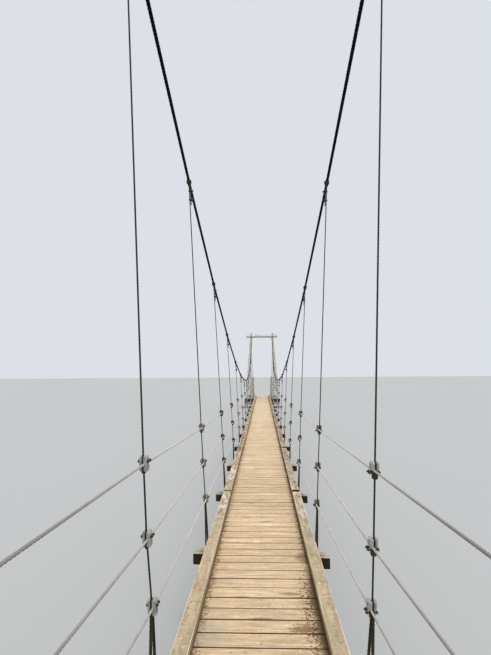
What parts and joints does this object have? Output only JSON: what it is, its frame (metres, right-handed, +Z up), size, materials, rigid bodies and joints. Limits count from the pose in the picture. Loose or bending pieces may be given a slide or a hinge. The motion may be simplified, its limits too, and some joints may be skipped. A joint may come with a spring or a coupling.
{
  "type": "suspension footbridge",
  "caption": "Narrow timber plank footbridge hung by wire rope hangers from two main cables over timber towers, with backstays to concrete anchor blocks.",
  "frame": {"origin": "on the ground under the middle of the span, midway between the two sides", "axes": "+Z up, +Y along the walkway from the near tower to the far tower, +X across the walkway to the right"},
  "size_m": [2.49, 39, 5.4869],
  "materials": {
    "deck_timber": "bare sawn boards, dry and sun bleached",
    "kerb_timber": "bare sawn timber, faintly green",
    "weathered_timber": "bare timber, weathered pale grey",
    "black_cable": "greased dark wire rope",
    "galvanised_rope": "dull galvanised wire rope",
    "galvanised_steel": "dull galvanised",
    "concrete": "cast concrete, rough"
  },
  "bodies": {
    "root": {"deck_section_1": "deck_timber", "deck_section_2": "deck_timber", "deck_section_3": "deck_timber", "deck_section_4": "deck_timber", "deck_section_5": "deck_timber", "transom_01": "weathered_timber", "transom_02": "weathered_timber", "transom_03": "weathered_timber", "transom_04": "weathered_timber", "transom_05": "weathered_timber", "transom_06": "weathered_timber", "transom_07": "weathered_timber", "transom_08": "weathered_timber", "transom_09": "weathered_timber", "transom_10": "weathered_timber", "transom_11": "weathered_timber", "transom_12": "weathered_timber", "transom_13": "weathered_timber", "transom_14": "weathered_timber", "kerb_left": "kerb_timber", "main_cable_left": "black_cable", "hanger_net_left": "galvanised_rope", "kerb_right": "kerb_timber", "main_cable_right": "black_cable", "hanger_net_right": "galvanised_rope", "crossbeam_near": "weathered_timber", "sill_beam_near": "weathered_timber", "tower_leg_near_left": "weathered_timber", "rail_post_near_left": "weathered_timber", "footing_near_left": "concrete", "anchor_block_near_left": "concrete", "saddle_near_left": "galvanised_steel", "tower_leg_near_right": "weathered_timber", "rail_post_near_right": "weathered_timber", "footing_near_right": "concrete", "anchor_block_near_right": "concrete", "saddle_near_right": "galvanised_steel", "crossbeam_far": "weathered_timber", "sill_beam_far": "weathered_timber", "tower_leg_far_left": "weathered_timber", "rail_post_far_left": "weathered_timber", "footing_far_left": "concrete", "anchor_block_far_left": "concrete", "saddle_far_left": "galvanised_steel", "tower_leg_far_right": "weathered_timber", "rail_post_far_right": "weathered_timber", "footing_far_right": "concrete", "anchor_block_far_right": "concrete", "saddle_far_right": "galvanised_steel"}
  },
  "joints": []
}
